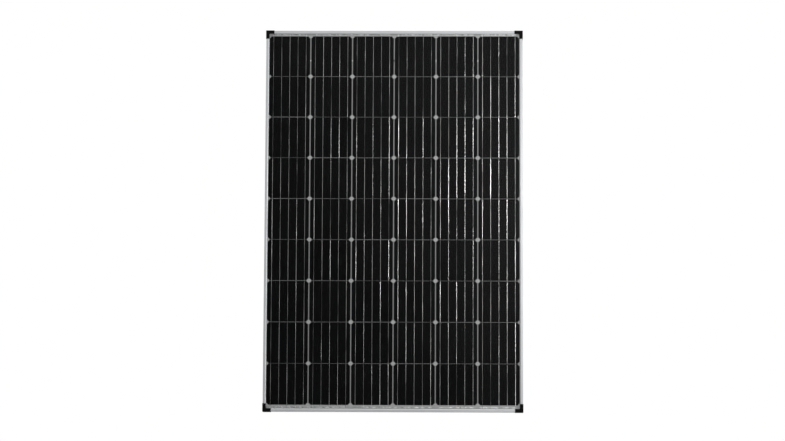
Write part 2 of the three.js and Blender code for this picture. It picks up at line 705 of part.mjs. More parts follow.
function junctionBox() {
  const group = new THREE.Group();
  group.add(piece("junction_box_pad", adhesivePad(), MATERIALS.sealant));
  group.add(piece("junction_box_base", boxBase(), MATERIALS.housing));
  group.add(piece("junction_box_lid", boxLid(), MATERIALS.housing));
  group.add(piece("junction_box_gasket", lidGasket(), MATERIALS.rubber));
  group.add(piece("lid_hinge_pin", hingePin(), MATERIALS.steel));
  for (let i = 0; i < TERMINAL_COUNT; i += 1) {
    group.add(piece(`terminal_${i + 1}`, terminal(i), MATERIALS.copper));
  }
  for (let i = 0; i < TERMINAL_COUNT - 1; i += 1) {
    group.add(piece(`bypass_diode_${i + 1}`, bypassDiode(i), MATERIALS.diode));
  }
  return group;
}

// ---- glands and leads ----

function ringBetween(outer, bore, x, end, top) {
  return upright(outer, x, LEAD_DEPTH, end, top).subtract(
    upright(bore, x, LEAD_DEPTH, end - OVERSHOOT, top + OVERSHOOT),
  );
}

function glandNut(x) {
  const body = upright(GLAND_NUT.outer, x, LEAD_DEPTH, GLAND_NUT.end, GLAND_NUT.top);
  const bore = upright(GLAND_NUT.bore, x, LEAD_DEPTH, GLAND_NUT.seat, GLAND_NUT.top + OVERSHOOT);
  const exit = upright(GLAND_NUT.exit, x, LEAD_DEPTH, GLAND_NUT.end - OVERSHOOT, GLAND_NUT.top);
  return body.subtract(bore).subtract(exit);
}

// The fixed start of a lead, from its bare conductor in the box to just above the first pivot.
function leadRoot(x) {
  return joined([
    upright(CONDUCTOR_RADIUS, x, LEAD_DEPTH, INSULATION_TOP - OVERSHOOT, CONDUCTOR_TOP, CABLE_SIDES),
    upright(CABLE_RADIUS, x, LEAD_DEPTH, SWING_PIVOT + PIVOT_GAP, INSULATION_TOP, CABLE_SIDES),
  ]);
}

function pivotBall(x, z) {
  const geometry = new THREE.SphereGeometry(BALL_RADIUS, CABLE_SIDES, CABLE_SIDES / 2);
  geometry.rotateX(QUARTER_TURN);
  geometry.translate(x, LEAD_DEPTH, z);
  return solidOf(geometry);
}

function leadBend(x) {
  const stem = upright(CABLE_RADIUS, x, LEAD_DEPTH, LIFT_PIVOT + PIVOT_GAP, SWING_PIVOT, CABLE_SIDES);
  return stem.add(pivotBall(x, SWING_PIVOT));
}

// A hanging cable that sways once to each side and is upright at both ends.
class HangingCurve extends THREE.Curve {
  getPoint(t, target = new THREE.Vector3()) {
    const sway = CABLE_SWAY * Math.sin(2 * Math.PI * t) * Math.sin(Math.PI * t) ** 2;
    return target.set(sway, 0, -CABLE_LENGTH * t);
  }
}

function leadCable(x) {
  const section = new THREE.Shape();
  section.absarc(0, 0, CABLE_RADIUS, 0, 4 * QUARTER_TURN);
  const geometry = new THREE.ExtrudeGeometry(section, {
    steps: CABLE_STEPS,
    curveSegments: CABLE_SIDES / 2, // doubled on an arc
    extrudePath: new HangingCurve(),
  });
  geometry.translate(x, LEAD_DEPTH, LIFT_PIVOT);
  return solidOf(geometry).add(pivotBall(x, LIFT_PIVOT));
}

const CONNECTOR_TOP = LIFT_PIVOT - CABLE_LENGTH + CABLE_IN_CONNECTOR;

function connectorNut(x) {
  const nut = CONNECTOR_NUT;
  const profile = closedRing([
    [nut.exit, 0],
    [nut.mouth, 0],
    [nut.outer, nut.cone],
    [nut.outer, nut.length],
    [nut.bore, nut.length],
    [nut.bore, nut.seat],
    [nut.exit, nut.seat],
  ]);
  return hangingLathe(profile, x, CONNECTOR_TOP);
}

function connectorShell(x, front) {
  const shell = CONNECTOR;
  const profile = closedRing([
    [CONNECTOR_NUT.exit, shell.top],
    [shell.thread, shell.top],
    [shell.thread, shell.shoulder],
    [shell.collar, shell.shoulder],
    [shell.collar, shell.shoulderEnd],
    [front.outer, shell.shoulderEnd],
    [front.outer, front.end],
    [front.inner, front.end],
    [front.inner, front.cavity],
    [CONNECTOR_BORE.radius, front.cavity],
    [CONNECTOR_BORE.radius, CONNECTOR_BORE.seatEnd],
    [CONNECTOR_NUT.exit, CONNECTOR_BORE.seatEnd],
  ]);
  return hangingLathe(profile, x, CONNECTOR_TOP);
}

function plugShell(x) {
  const z = [CONNECTOR_TOP - PLUG_LATCH.end, CONNECTOR_TOP - PLUG_LATCH.start];
  const depth = [LEAD_DEPTH - PLUG_LATCH.halfWidth, LEAD_DEPTH + PLUG_LATCH.halfWidth];
  const arms = [-1, 1].map((side) => {
    const across = [x + side * PLUG_LATCH.inner, x + side * PLUG_LATCH.outer].sort((a, b) => a - b);
    return box(across, depth, z);
  });
  return joined([connectorShell(x, PLUG_NOSE), ...arms]);
}

function contactPin(x) {
  const profile = [
    [0, CONTACT.start],
    [CONTACT.radius, CONTACT.start],
    [CONTACT.radius, CONTACT.end - CONTACT.tip],
    [CONTACT.radius - CONTACT.tip, CONTACT.end],
    [0, CONTACT.end],
  ];
  return hangingLathe(profile, x, CONNECTOR_TOP);
}

function lead(name, x, shell) {
  const group = new THREE.Group();
  group.add(piece(`${name}_gland_nut`, glandNut(x), MATERIALS.housing));
  const seal = ringBetween(GLAND_SEAL.outer, GLAND_SEAL.bore, x, GLAND_SEAL.end, GLAND_SEAL.top);
  group.add(piece(`${name}_gland_seal`, seal, MATERIALS.rubber));
  group.add(piece(`${name}_lead_root`, leadRoot(x), MATERIALS.cable));
  group.add(piece(`${name}_lead_bend`, leadBend(x), MATERIALS.cable));
  group.add(piece(`${name}_lead_cable`, leadCable(x), MATERIALS.cable));
  group.add(piece(`${name}_connector_nut`, connectorNut(x), MATERIALS.housing));
  group.add(piece(`${name}_connector_body`, shell, MATERIALS.housing));
  group.add(piece(`${name}_contact`, contactPin(x), MATERIALS.copper));
  return group;
}

// ---- the whole panel ----

const panel = new THREE.Group();
panel.position.set(0, (GUARD_PROUD - FRAME_DEPTH) / 2, HALF_HEIGHT + GUARD_PROUD);
panel.add(...frameRails());
panel.add(...corners());
panel.add(laminate());
panel.add(junctionBox());
panel.add(lead("positive", -LEAD_X, connectorShell(-LEAD_X, SOCKET_BARREL)));
panel.add(lead("negative", LEAD_X, plugShell(LEAD_X)));

export default panel;
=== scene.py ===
"""Looks for the framed solar panel: cells, glass, frame finish, junction box and leads, round the CAD frame.

Metres throughout, in the part's own frame: X across the panel, Z up it, glass facing -Y.
Numbers written as n * MM are millimetres.
"""

import json
import math

import bmesh
import bpy
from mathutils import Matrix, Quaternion, Vector


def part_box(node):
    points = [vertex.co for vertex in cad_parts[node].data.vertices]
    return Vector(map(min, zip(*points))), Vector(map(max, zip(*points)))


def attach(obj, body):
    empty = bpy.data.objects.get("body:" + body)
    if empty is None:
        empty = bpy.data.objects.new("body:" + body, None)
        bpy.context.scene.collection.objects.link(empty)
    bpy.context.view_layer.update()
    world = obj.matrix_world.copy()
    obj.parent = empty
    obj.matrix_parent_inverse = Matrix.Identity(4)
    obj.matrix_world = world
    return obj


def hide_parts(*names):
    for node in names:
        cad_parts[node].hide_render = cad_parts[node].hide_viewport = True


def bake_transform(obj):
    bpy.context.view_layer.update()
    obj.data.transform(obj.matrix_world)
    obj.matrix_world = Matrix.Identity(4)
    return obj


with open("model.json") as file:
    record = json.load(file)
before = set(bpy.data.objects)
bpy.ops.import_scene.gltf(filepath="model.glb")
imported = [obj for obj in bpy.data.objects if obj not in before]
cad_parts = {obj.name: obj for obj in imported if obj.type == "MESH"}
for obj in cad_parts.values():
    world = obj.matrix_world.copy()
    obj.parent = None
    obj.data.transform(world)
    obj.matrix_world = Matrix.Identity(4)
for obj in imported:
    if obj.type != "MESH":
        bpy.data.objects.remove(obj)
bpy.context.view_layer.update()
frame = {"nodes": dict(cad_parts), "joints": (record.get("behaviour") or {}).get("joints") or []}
NODES = frame["nodes"]
JOINTS = {joint["name"]: joint for joint in frame["joints"]}
MM = 0.001

# ---- cell array ----
COLUMNS, ROWS = 6, 9
CELL = 156.75 * MM
CELL_CHAMFER = 8.5 * MM
COLUMN_GAP, ROW_GAP = 4.4 * MM, 1.35 * MM
COLUMN_PITCH = CELL + COLUMN_GAP
ROW_PITCH = CELL + ROW_GAP
RIBBONS = 5
RIBBON_PITCH = CELL / RIBBONS
RIBBON_WIDTH = 1.1 * MM
RIBBON_THICK = 0.2 * MM
RIBBON_INSET = 1.6 * MM
WAFER_THICK = 0.2 * MM
FINGER_PITCH = 1.45 * MM
SKIN = 0.002 * MM
CELL_SLIP = 0.3 * MM
ARRAY_RAISE = 2.5 * MM

# ---- meshes ----
MERGE_DISTANCE = 0.001 * MM
WELD_DISTANCE = 0.005 * MM
BEVEL_SEGMENTS = 2
BEVEL_ANGLE = math.radians(40)
TUBE_SIDES = 24
RIB_SIDES = 20
NUT_SIDES = 144

# ---- frame shelf, both from the rail's outer face ----
SHELF_REACH = 13 * MM
SEALANT_START = 1.45 * MM

# ---- leads and connectors ----
CABLE_RADIUS = 3.0 * MM
CONDUCTOR_RADIUS = 1.3 * MM
CONDUCTOR_BARE = 23 * MM
START_IN_NUT = 2 * MM
CABLE_SWAY = 14 * MM
FLEX = 19.5 * MM
BEND_STEPS, CABLE_STEPS = 36, 120
GRIP_RIBS = 18


def middle(node):
    low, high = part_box(node)
    return (low + high) / 2


ARRAY_Z = (middle("frame_rail_left").z + middle("frame_rail_right").z) / 2 + ARRAY_RAISE
STRING_LOW, STRING_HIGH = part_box("cell_string_1")
WAFER_FRONT = STRING_HIGH.y - WAFER_THICK
UPPER_BUS_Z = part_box("upper_bus_ribbon_1")[1].z
LOWER_BUS_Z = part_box("lower_bus_ribbon_1")[0].z


# ---- node helpers ----
class Look:
    """A node tree, with short calls to add nodes and link them."""

    def __init__(self, name, world=False):
        self.material = (bpy.data.worlds if world else bpy.data.materials).new(name)
        self.material.use_nodes = True
        self.tree = self.material.node_tree
        self.tree.nodes.clear()
        self.output = self.tree.nodes.new("ShaderNodeOutputWorld" if world else "ShaderNodeOutputMaterial")

    def node(self, kind, inputs=None, **settings):
        made = self.tree.nodes.new(kind)
        for key, value in settings.items():
            setattr(made, key, value)
        for key, value in (inputs or {}).items():
            self.put(made.inputs[key], value)
        return made

    def put(self, socket, value):
        if isinstance(value, bpy.types.NodeSocket):
            self.tree.links.new(value, socket)
        elif isinstance(value, bpy.types.Node):
            self.tree.links.new(value.outputs[0], socket)
        else:
            socket.default_value = value

    def math(self, operation, first, second=0.0):
        made = self.node("ShaderNodeMath", operation=operation)
        self.put(made.inputs[0], first)
        self.put(made.inputs[1], second)
        return made.outputs[0]

    def total(self, *values):
        result = values[0]
        for value in values[1:]:
            result = self.math("ADD", result, value)
        return result

    def vector_math(self, operation, first, second=(0, 0, 0), output=0):
        made = self.node("ShaderNodeVectorMath", operation=operation)
        self.put(made.inputs[0], first)
        self.put(made.inputs[1], second)
        return made.outputs[output]

    def place(self):
        """Position in the part's frame, in metres."""
        return self.node("ShaderNodeTexCoord").outputs["Object"]

    def axes(self, vector):
        return self.node("ShaderNodeSeparateXYZ", {"Vector": vector}).outputs[:3]

    def joined(self, x, y, z):
        return self.node("ShaderNodeCombineXYZ", {"X": x, "Y": y, "Z": z}).outputs[0]

    def noise(self, vector, scale, detail, rough=0.5, output="Fac"):
        inputs = {"Vector": vector, "Scale": scale, "Detail": detail, "Roughness": rough}
        return self.node("ShaderNodeTexNoise", inputs).outputs[output]

    def stretched(self, x, y, z):
        """The position scaled by a factor along each axis, for streaky noise."""
        return self.vector_math("MULTIPLY", self.place(), (x, y, z))

    def spread(self, value, low, high, out_low=0.0, out_high=1.0):
        names = ("Value", "From Min", "From Max", "To Min", "To Max")
        inputs = dict(zip(names, (value, low, high, out_low, out_high)))
        return self.node("ShaderNodeMapRange", inputs).outputs[0]

    def mixed(self, factor, first, second):
        made = self.node("ShaderNodeMix", data_type="RGBA")
        self.put(made.inputs[0], factor)
        self.put(made.inputs[6], first)
        self.put(made.inputs[7], second)
        return made.outputs[2]

    def shaders(self, factor, first, second):
        made = self.node("ShaderNodeMixShader", {"Fac": factor})
        self.put(made.inputs[1], first)
        self.put(made.inputs[2], second)
        return made

    def bump(self, height, distance, strength):
        inputs = {"Height": height, "Distance": distance, "Strength": strength}
        return self.node("ShaderNodeBump", inputs).outputs[0]

    def finish(self, shader):
        self.put(self.output.inputs["Surface"], shader)
        return self.material

    def principled(self, colour, roughness, metallic, normal, specular=0.5):
        inputs = {"Base Color": colour, "Roughness": roughness, "Metallic": metallic}
        inputs["Specular IOR Level"] = specular
        inputs["Normal"] = normal
        return self.finish(self.node("ShaderNodeBsdfPrincipled", inputs))


def grey(value):
    return (value, value, value, 1)


# ---- materials ----
def anodised(name, along):
    """Clear anodised extrusion: die lines along the rail, and faint handling marks."""
    look = Look(name)
    fine, coarse, length = 9000, 500, 6
    factors = {"x": (length, fine, fine), "z": (fine, fine, length)}[along]
    wide = {"x": (length, coarse, coarse), "z": (coarse, coarse, length)}[along]
    lines = look.noise(look.stretched(*factors), 1.0, 3.0)
    bands = look.noise(look.stretched(*wide), 1.0, 2.0)
    marks = look.noise(look.place(), 14.0, 5.0, 0.65)
    tone = look.math("MULTIPLY", look.total(lines, bands), 0.5)
    colour = look.mixed(look.spread(tone, 0.3, 0.7), (0.42, 0.43, 0.44, 1), (0.51, 0.52, 0.53, 1))
    colour = look.mixed(look.spread(marks, 0.55, 0.8, 0, 0.35), colour, (0.37, 0.38, 0.38, 1))
    roughness = look.spread(look.total(lines, marks), 0.6, 1.4, 0.44, 0.58)
    return look.principled(colour, roughness, 0.6, look.bump(lines, 0.02 * MM, 0.5), 0.3)


def glass():
    """Coated front glass: clear, with a thin reflection that rises towards grazing angles."""
    look = Look("coated_glass")
    facing_reflection = 0.021
    geometry = look.node("ShaderNodeNewGeometry").outputs
    facing = look.vector_math("DOT_PRODUCT", geometry["Incoming"], geometry["Normal"], output="Value")
    away = look.math("SUBTRACT", 1.0, look.math("ABSOLUTE", facing))
    rise = look.math("MULTIPLY", look.math("POWER", away, 5.0), 1 - facing_reflection)
    outside = look.math("SUBTRACT", 1.0, geometry["Backfacing"])
    reflection = look.math("MULTIPLY", look.total(rise, facing_reflection), outside)
    ripple = look.bump(look.noise(look.place(), 700.0, 1.0), 0.004 * MM, 0.4)
    shine = look.node("ShaderNodeBsdfGlossy", {"Color": grey(1), "Roughness": 0.06, "Normal": ripple})
    clear = look.node("ShaderNodeBsdfTransparent", {"Color": (0.985, 0.992, 0.99, 1)})
    return look.finish(look.shaders(reflection, clear, shine))


def front_film():
    """Cured encapsulant: clear, with a trace of haze."""
    look = Look("clear_encapsulant")
    haze = look.spread(look.noise(look.place(), 60.0, 3.0), 0.3, 0.7, 0.0, 0.001)
    clear = look.node("ShaderNodeBsdfTransparent", {"Color": grey(1)})
    milk = look.node("ShaderNodeBsdfDiffuse", {"Color": grey(0.6)})
    return look.finish(look.shaders(haze, clear, milk))


def rear_film():
    """White encapsulant between the cells, with painted shade that makes it dimmer in the thin gaps than
    where four corners meet, as if the cells' edges shaded it.
    """
    look = Look("white_encapsulant")
    dim_start, dim_end = 0.6 * CELL_CHAMFER, 1.1 * CELL_CHAMFER
    x, _, z = look.axes(look.place())
    up = look.math("SUBTRACT", z, ARRAY_Z)
    from_column = look.math("PINGPONG", x, COLUMN_PITCH / 2)
    from_row = look.math("PINGPONG", look.math("ADD", up, ROW_PITCH / 2), ROW_PITCH / 2)
    from_corner = look.math("MAXIMUM", from_column, from_row)
    painted_gap_shade = look.spread(from_corner, dim_start, dim_end)
    array_half_x = (COLUMNS * COLUMN_PITCH - COLUMN_GAP) / 2
    array_half_z = (ROWS * ROW_PITCH - ROW_GAP) / 2
    inside_x = look.math("LESS_THAN", look.math("ABSOLUTE", x), array_half_x)
    inside_z = look.math("LESS_THAN", look.math("ABSOLUTE", up), array_half_z)
    inside = look.math("MULTIPLY", inside_x, inside_z)
    cloud = look.noise(look.place(), 35.0, 3.0)
    grain = look.noise(look.place(), 900.0, 2.0)
    colour = look.mixed(look.spread(cloud, 0.3, 0.7), grey(0.316), grey(0.350))
    # Painted shade: the film is coloured darker in the thin gaps between cells, where the cells' edges would
    # shade it.
    colour = look.mixed(look.math("MULTIPLY", painted_gap_shade, inside), colour, grey(0.21))
    return look.principled(colour, 0.6, 0.0, look.bump(grain, 0.03 * MM, 0.5), 0.2)


def cell_numbers(look, x, z):
    """Whole numbers that name the column and row of a point."""
    column = look.math("FLOOR", look.math("DIVIDE", x, COLUMN_PITCH))
    up = look.math("SUBTRACT", z, ARRAY_Z - ROW_PITCH / 2)
    return column, look.math("FLOOR", look.math("DIVIDE", up, ROW_PITCH))


def silicon():
    """Coated cell: nearly black, a little different from cell to cell, with soft patches of uneven tone
    tinted bluish as a painted sheen, and hair-thin grid fingers.
    """
    look = Look("coated_silicon")
    x, _, z = look.axes(look.place())
    column, row = cell_numbers(look, x, z)
    seed, finger_share, above_zero = 3.0, 0.05, 1.0
    chance = look.node("ShaderNodeTexWhiteNoise", {"Vector": look.joined(column, row, seed)}).outputs["Value"]
    phase = look.math("FRACT", look.math("DIVIDE", look.math("ADD", z, above_zero), FINGER_PITCH))
    finger = look.math("LESS_THAN", phase, finger_share)
    cloud = look.noise(look.place(), 9.0, 4.0, 0.6)
    tone_and_painted_sheen = look.mixed(chance, (0.0018, 0.0017, 0.0018, 1), (0.0032, 0.0030, 0.0030, 1))
    # Soft patches: the coating's own uneven tone, tinted bluish as a painted sheen.
    tone_and_painted_sheen = look.mixed(look.spread(cloud, 0.35, 0.7, 0, 0.5), tone_and_painted_sheen, (0.0024, 0.0032, 0.0038, 1))
    colour = look.mixed(look.math("MULTIPLY", finger, 0.25), tone_and_painted_sheen, grey(0.03))
    roughness = look.spread(cloud, 0.3, 0.7, 0.30, 0.42)
    return look.principled(colour, roughness, 0.0, look.bump(finger, 0.015 * MM, 0.3), 0.02)


def ribbon_numbers(look):
    """Numbers that name a point's ribbon and row, and a vector for noise that differs by ribbon."""
    lanes_per_column, lane_spacing = 8.0, 3.7
    x, _, z = look.axes(look.place())
    column, row = cell_numbers(look, x, z)
    across = look.math("SUBTRACT", x, look.math("MULTIPLY", look.math("ADD", column, 0.5), COLUMN_PITCH))
    lane = look.math("ROUND", look.math("DIVIDE", across, RIBBON_PITCH))
    lane = look.total(lane, look.math("MULTIPLY", column, lanes_per_column))
    return lane, row, look.joined(look.math("MULTIPLY", lane, lane_spacing), row, z)


def uneven_normal(look, tilt, along):
    """The surface's normal, turned by a tilt for each length, a slow twist along it, and beads of solder."""
    tilt_reach, twist_reach = (0.22, 0, 0.05), (0.44, 0, 0.12)
    bead_reach_x, bead_reach_z = 0.42, 0.50
    centre = (0.5, 0.5, 0.5)
    normal = look.node("ShaderNodeNewGeometry").outputs["Normal"]
    beads = look.spread(look.axes(tilt)[1], 0.55, 1.0, 0.15, 1.0)
    bead_x = look.math("MULTIPLY", beads, bead_reach_x)
    bead_z = look.math("MULTIPLY", beads, bead_reach_z)
    turns = (
        (tilt, tilt_reach),
        (look.noise(along, 7.0, 1.0, output="Color"), twist_reach),
        (look.noise(along, 150.0, 2.0, output="Color"), look.joined(bead_x, 0.0, bead_z)),
    )
    for source, reach in turns:
        turn = look.vector_math("MULTIPLY", look.vector_math("SUBTRACT", source, centre), reach)
        normal = look.vector_math("ADD", normal, turn)
    return look.vector_math("NORMALIZE", normal)


def tinned_ribbon():
    """Solder-dipped ribbon. Each length has its own tilt and twist, and its own amount of painted shade,
    darkening it as if it caught no light; some carry solder beads.
    """
    look = Look("tinned_ribbon")
    seed = 7.0
    lane, row, along = ribbon_numbers(look)
    tilt = look.node("ShaderNodeTexWhiteNoise", {"Vector": look.joined(lane, row, seed)}).outputs["Color"]
    normal = uneven_normal(look, tilt, along)
    grain = look.noise(look.place(), 1500.0, 2.0)
    roughness = look.spread(grain, 0.3, 0.7, 0.29, 0.40)
    clean = look.mixed(grain, (0.76, 0.75, 0.74, 1), (0.90, 0.89, 0.89, 1))
    # Painted shade: each length, varying slowly along it, is coloured towards near-black, standing in for the
    # lengths that reflect nothing bright.
    drift = look.spread(look.noise(along, 11.0, 1.0), 0.35, 0.65, -0.25, 0.25)
    painted_shade_share = look.spread(look.total(look.axes(tilt)[2], drift), 0.0, 1.0, 0.86, 0.0)
    colour = look.mixed(painted_shade_share, clean, grey(0.05))
    return look.principled(colour, roughness, 1.0, normal)


def bus_ribbon():
    """Wider tinned strip with a soft waviness, so that it breaks into light and dark lengths; the same waves
    also paint these lengths into its colour, as painted highlight and painted shade.
    """
    look = Look("bus_ribbon")
    wave_and_painted_shading = look.noise(look.stretched(1, 0.1, 1), 75.0, 2.0, 0.6)
    dents = look.noise(look.stretched(1, 0.1, 1), 320.0, 2.0)
    height = look.total(wave_and_painted_shading, look.math("MULTIPLY", dents, 0.15))
    # Painted highlight and shade: the colour is lighter on the crests of the waviness and darker in its dips.
    colour = look.mixed(look.spread(wave_and_painted_shading, 0.35, 0.65), grey(0.34), (0.78, 0.78, 0.79, 1))
    return look.principled(colour, 0.42, 0.85, look.bump(height, 1.2 * MM, 1.0))


def backsheet():
    """White rear film, with the cells and ribbons just showing through as shallow bump."""
    look = Look("white_backsheet")
    cell_rise, ribbon_rise, weave_rise = 0.12 * MM, 0.03 * MM, 0.02 * MM
    row_step, ribbon_step = 1.4 * ROW_GAP, 2.2 * MM
    x, _, z = look.axes(look.place())
    across = look.math("PINGPONG", x, COLUMN_PITCH / 2)
    up = look.math("PINGPONG", look.math("SUBTRACT", z, ARRAY_Z - ROW_PITCH / 2), ROW_PITCH / 2)
    column_edge = look.spread(across, 0.0, COLUMN_GAP)
    row_edge = look.spread(up, 0.0, row_step)
    cells = look.math("MULTIPLY", column_edge, row_edge)
    from_ribbon = look.math("PINGPONG", look.math("SUBTRACT", across, COLUMN_PITCH / 2), RIBBON_PITCH / 2)
    ribbon = look.spread(from_ribbon, 0.0, ribbon_step, 1, 0)
    weave = look.noise(look.place(), 1200.0, 2.0)
    parts = ((cells, cell_rise), (ribbon, ribbon_rise), (weave, weave_rise))
    height = look.total(*(look.math("MULTIPLY", part, tall) for part, tall in parts))
    cloud = look.noise(look.place(), 5.0, 4.0)
    colour = look.mixed(look.spread(cloud, 0.35, 0.7), (0.80, 0.805, 0.80, 1), (0.74, 0.745, 0.745, 1))
    colour = look.mixed(look.math("MULTIPLY", cells, 0.10), colour, (0.62, 0.64, 0.68, 1))
    return look.principled(colour, 0.42, 0.0, look.bump(height, 1.0, 0.8), 0.4)


def moulded(name, shade, rough_low, rough_high, specular=0.45):
    """Spark-textured moulded plastic with faint scuffs."""
    look = Look(name)
    scuff_gain = 2.3
    spark = look.noise(look.place(), 2600.0, 3.0, 0.7)
    scuff = look.noise(look.stretched(60, 60, 220), 1.0, 5.0, 0.7)
    light = tuple(min(1.0, channel * scuff_gain) for channel in shade)
    colour = look.mixed(look.spread(scuff, 0.56, 0.82, 0, 0.5), (*shade, 1), (*light, 1))
    roughness = look.spread(spark, 0.3, 0.7, rough_low, rough_high)
    return look.principled(colour, roughness, 0.0, look.bump(spark, 0.05 * MM, 0.6), specular)


def jacket():
    """Extruded cable jacket: smooth, with fine lengthwise streaks and dust."""
    look = Look("cable_jacket")
    clean, dusty = (0.012, 0.012, 0.013, 1), (0.04, 0.039, 0.037, 1)
    dust = look.noise(look.place(), 90.0, 5.0, 0.7)
    skin = look.noise(look.stretched(2500, 2500, 300), 1.0, 2.0)
    colour = look.mixed(look.spread(dust, 0.5, 0.8, 0, 0.6), clean, dusty)
    roughness = look.spread(dust, 0.3, 0.7, 0.42, 0.62)
    return look.principled(colour, roughness, 0.0, look.bump(skin, 0.02 * MM, 0.6), 0.4)


def silicone():
    """Cured white sealant with a tooled, slightly uneven skin."""
    look = Look("silicone_sealant")
    lumps = look.noise(look.place(), 160.0, 3.0, 0.6)
    colour = look.mixed(look.spread(lumps, 0.3, 0.7), grey(0.70), grey(0.80))
    return look.principled(colour, 0.38, 0.0, look.bump(lumps, 0.4 * MM, 0.6))


def metal(name, dark, light, rough_low, rough_high, scale):
    """Bare metal with a fine grain of the given scale, and stains nine times as wide."""
    look = Look(name)
    grain = look.noise(look.place(), scale, 4.0, 0.6)
    stain = look.noise(look.place(), scale / 9, 3.0)
    colour = look.mixed(look.spread(stain, 0.3, 0.7), (*dark, 1), (*light, 1))
    roughness = look.spread(grain, 0.3, 0.7, rough_low, rough_high)
    return look.principled(colour, roughness, 1.0, look.bump(grain, 0.03 * MM, 0.5))


LOOKS = {
    "rail_upright": anodised("anodised_upright", "z"),
    "rail_level": anodised("anodised_level", "x"),
    "glass": glass(),
    "front_film": front_film(),
    "rear_film": rear_film(),
    "silicon": silicon(),
    "ribbon": tinned_ribbon(),
    "bus": bus_ribbon(),
    "backsheet": backsheet(),
    "guard": moulded("guard_plastic", (0.002, 0.002, 0.002), 0.55, 0.70, 0.06),
    "housing": moulded("housing_plastic", (0.016, 0.0165, 0.018), 0.40, 0.58),
    "rubber": moulded("gasket_rubber", (0.020, 0.020, 0.020), 0.65, 0.85, 0.3),
    "jacket": jacket(),
    "silicone": silicone(),
    "key": metal("sawn_aluminium", (0.48, 0.49, 0.50), (0.62, 0.63, 0.64), 0.40, 0.60, 900.0),
    "steel": metal("drawn_steel", (0.42, 0.42, 0.43), (0.60, 0.60, 0.61), 0.25, 0.42, 1200.0),
    "copper": metal("tinned_copper", (0.58, 0.52, 0.44), (0.76, 0.72, 0.66), 0.25, 0.45, 800.0),
    "strands": metal("copper_strands", (0.55, 0.30, 0.18), (0.75, 0.45, 0.28), 0.30, 0.50, 900.0),
    "epoxy": moulded("diode_epoxy", (0.014, 0.014, 0.015), 0.30, 0.42, 0.5),
    "band": moulded("diode_band", (0.46, 0.46, 0.47), 0.35, 0.50, 0.5),
}


# ---- mesh helpers ----
def piece(name, vertices, faces, looks, face_looks=None, sharp=35):
    """A mesh object of closed bodies. face_looks gives each face's place in looks; sharp is in degrees."""
    mesh = bpy.data.meshes.new(name)
    mesh.from_pydata([tuple(vertex) for vertex in vertices], [], faces)
    for look in looks:
        mesh.materials.append(LOOKS[look])
    if face_looks is not None:
        mesh.polygons.foreach_set("material_index", face_looks)
    work = bmesh.new()
    work.from_mesh(mesh)
    bmesh.ops.remove_doubles(work, verts=work.verts, dist=MERGE_DISTANCE)
    bmesh.ops.recalc_face_normals(work, faces=work.faces)
    work.to_mesh(mesh)
    work.free()
    mesh.polygons.foreach_set("use_smooth", [True] * len(mesh.polygons))
    mesh.set_sharp_from_angle(angle=math.radians(sharp))
    made = bpy.data.objects.new(name, mesh)
    bpy.context.scene.collection.objects.link(made)
    return made


def soften(made, width):
    """Rounds the edges that are sharper than BEVEL_ANGLE."""
    weld = made.modifiers.new("weld", "WELD")
    weld.merge_threshold = WELD_DISTANCE
    bevel = made.modifiers.new("bevel", "BEVEL")
    bevel.width = width
    bevel.segments = BEVEL_SEGMENTS
    bevel.limit_method = "ANGLE"
    bevel.angle_limit = BEVEL_ANGLE
    bevel.miter_outer = "MITER_ARC"
    normals = made.modifiers.new("normals", "WEIGHTED_NORMAL")
    normals.keep_sharp = True
    normals.weight = 80


def skin_faces(rings, sides, first=0, loop=False):
    """Quads between successive rings of points, each ring closed on itself."""
    faces = []
    for i in range(rings if loop else rings - 1):
        a = first + i * sides
        b = first + (i + 1) % rings * sides
        for j in range(sides):
            k = (j + 1) % sides
            faces.append((a + j, a + k, b + k, b + j))
    return faces


def end_caps(rings, sides, first=0):
    last = first + (rings - 1) * sides
    return [tuple(range(first, first + sides)), tuple(range(last, last + sides))]


def millimetres(points):
    return [(first * MM, second * MM) for first, second in points]


def rounded(points, radius, steps=4, closed=True):
    """The outline with its corners curved from this far along each side, or from nearer on short sides."""
    result = []
    most_of_side = 0.45
    count = len(points)
    for i, corner in enumerate(points):
        if not closed and i in (0, count - 1):
            result.append(corner)
            continue
        ends = []
        for neighbour in (points[i - 1], points[(i + 1) % count]):
            away = (neighbour[0] - corner[0], neighbour[1] - corner[1])
            share = min(most_of_side, radius / math.hypot(*away))
            ends.append((corner[0] + away[0] * share, corner[1] + away[1] * share))
        for step in range(steps + 1):
            t = step / steps
            weights = ((1 - t) ** 2, 2 * t * (1 - t), t * t)
            near = zip(weights, (ends[0], corner, ends[1]))
            result.append(tuple(map(sum, zip(*((w * p[0], w * p[1]) for w, p in near)))))
    return result


def tube(name, path, radius, look):
    """A round tube along a path that runs mostly along Z, capped at both ends."""
    vertices = []
    for i, point in enumerate(path):
        ahead = (path[min(i + 1, len(path) - 1)] - path[max(i - 1, 0)]).normalized()
        side = Vector((0, 1, 0)).cross(ahead).normalized()
        over = ahead.cross(side)
        for j in range(TUBE_SIDES):
            angle = 2 * math.pi * j / TUBE_SIDES
            vertices.append(point + radius * (math.cos(angle) * side + math.sin(angle) * over))
    faces = skin_faces(len(path), TUBE_SIDES) + end_caps(len(path), TUBE_SIDES)
    return piece(name, vertices, faces, [look])


